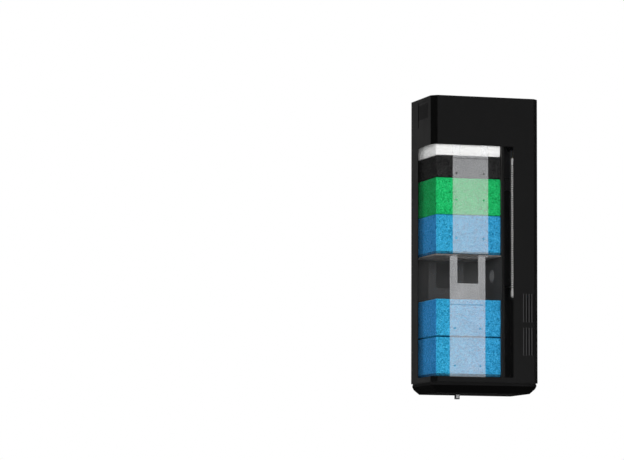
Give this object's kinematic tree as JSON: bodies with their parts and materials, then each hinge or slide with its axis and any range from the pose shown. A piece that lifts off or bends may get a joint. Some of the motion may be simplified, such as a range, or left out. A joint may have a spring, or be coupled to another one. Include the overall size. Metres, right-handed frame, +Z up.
{
  "type": "aquarium corner filter",
  "caption": "Tall glass-mounted aquarium filter casing with a clear media window, lift-out media baskets, heater, small pump and swivelling outlet nozzle.",
  "frame": {"origin": "centre of the middle mounting pad's outer face, where the casing is stuck to the tank's side glass", "axes": "+X out of the casing's right-hand side into the tank glass, +Y towards the casing's rear wall with the outlet nozzle, +Z up"},
  "size_m": [0.17, 0.1533, 0.4475],
  "materials": {
    "casing_black": "satin injection-moulded, light grain",
    "partition_black": "satin moulded",
    "cap_black": "matt moulded",
    "clear_pane": "clear polished acrylic",
    "rubber_black": "matt",
    "silicone_grey": "cured silicone, soft sheen",
    "duct_black": "satin moulded",
    "strainer_grey": "satin moulded",
    "pump_black": "satin moulded",
    "stator_steel": "stacked laminations",
    "coil_copper": "enamelled wire, wound",
    "ceramic_white": "glazed ceramic",
    "magnet_grey": "sintered ferrite",
    "impeller_white": "satin moulded",
    "heater_glass": "clear borosilicate tube",
    "resistance_wire": "oxidised resistance wire",
    "contact_brass": "stamped strip",
    "dial_red": "satin moulded",
    "basket_grid": "smoky translucent moulding",
    "basket_band": "frosted translucent moulding",
    "foam_blue_fine": "open-cell foam, fine pores",
    "foam_blue_coarse": "open-cell foam, coarse pores",
    "foam_green": "open-cell foam, coarse pores",
    "foam_carbon": "open-cell foam loaded with charcoal",
    "floss_white": "felted filter floss",
    "drain_grey": "satin moulded"
  },
  "bodies": {
    "casing": {"casing_shell": "casing_black", "partition": "partition_black", "base_cap": "cap_black", "base_gasket": "rubber_black", "media_window": "clear_pane", "heater_window": "clear_pane", "mounting_pads": "silicone_grey", "suction_duct": "duct_black", "port_strainer": "strainer_grey", "heater_bracket": "duct_black", "volute": "pump_black", "volute_seal": "rubber_black", "motor_housing": "pump_black", "motor_cap": "pump_black", "stator_core": "stator_steel", "stator_coil": "coil_copper", "impeller_shaft": "ceramic_white", "shaft_bushes": "rubber_black", "pump_feet": "rubber_black", "pump_gland": "rubber_black", "riser_pipe": "duct_black", "wall_grommet": "rubber_black", "nozzle_washer": "strainer_grey", "drain_seal": "rubber_black"},
    "impeller": {"rotor_magnet": "magnet_grey", "impeller_wheel": "impeller_white"},
    "nozzle": {"outlet_nozzle": "casing_black"},
    "heater": {"heater_tube": "heater_glass", "heater_core": "ceramic_white", "heater_winding": "resistance_wire", "heater_thermostat": "contact_brass", "heater_head": "pump_black", "heater_seal": "rubber_black", "heater_gland": "rubber_black"},
    "dial": {"heater_dial": "dial_red"},
    "lower_basket": {"lower_basket_floor": "basket_grid", "lower_basket_front_band": "basket_band", "lower_basket_rear_band": "basket_band", "fine_sponge_bottom": "foam_blue_fine", "fine_sponge_top": "foam_blue_fine"},
    "upper_basket": {"upper_basket_floor": "basket_grid", "upper_basket_front_band": "basket_band", "upper_basket_rear_band": "basket_band", "coarse_sponge": "foam_blue_coarse", "nitrate_sponge": "foam_green", "carbon_sponge": "foam_carbon"},
    "floss": {"floss_pad": "floss_white"},
    "drain_valve": {"drain_spigot": "drain_grey", "drain_knob": "drain_grey"}
  },
  "joints": [
    {"name": "lower_basket_lift", "type": "slide", "parent": "casing", "child": "lower_basket", "axis": [0, 0, 1], "range_m": [0, 0.46]},
    {"name": "upper_basket_lift", "type": "slide", "parent": "lower_basket", "child": "upper_basket", "axis": [0, 0, 1], "range_m": [0, 0.26]},
    {"name": "floss_pad_lift", "type": "slide", "parent": "upper_basket", "child": "floss", "axis": [0, 0, 1], "range_m": [0, 0.1]},
    {"name": "heater_lift", "type": "slide", "parent": "casing", "child": "heater", "axis": [0, 0, 1], "range_m": [0, 0.31]},
    {"name": "heater_dial_turn", "type": "hinge", "parent": "heater", "child": "dial", "pos_m": [-0.029, -0.035, 0.206], "axis": [0, 0, 1], "range_deg": [0, 270]},
    {"name": "impeller_spin", "type": "hinge", "parent": "casing", "child": "impeller", "pos_m": [-0.03075, 0.0095, 0.096], "axis": [0, 0, 1], "continuous": true},
    {"name": "nozzle_swivel", "type": "hinge", "parent": "casing", "child": "nozzle", "pos_m": [-0.0228, 0.0595, 0.185], "axis": [0, 1, 0], "range_deg": [-90, 90]},
    {"name": "drain_valve_turn", "type": "hinge", "parent": "casing", "child": "drain_valve", "pos_m": [-0.1132, -0.0005, -0.22], "axis": [0, 0, 1], "range_deg": [0, 90]}
  ]
}
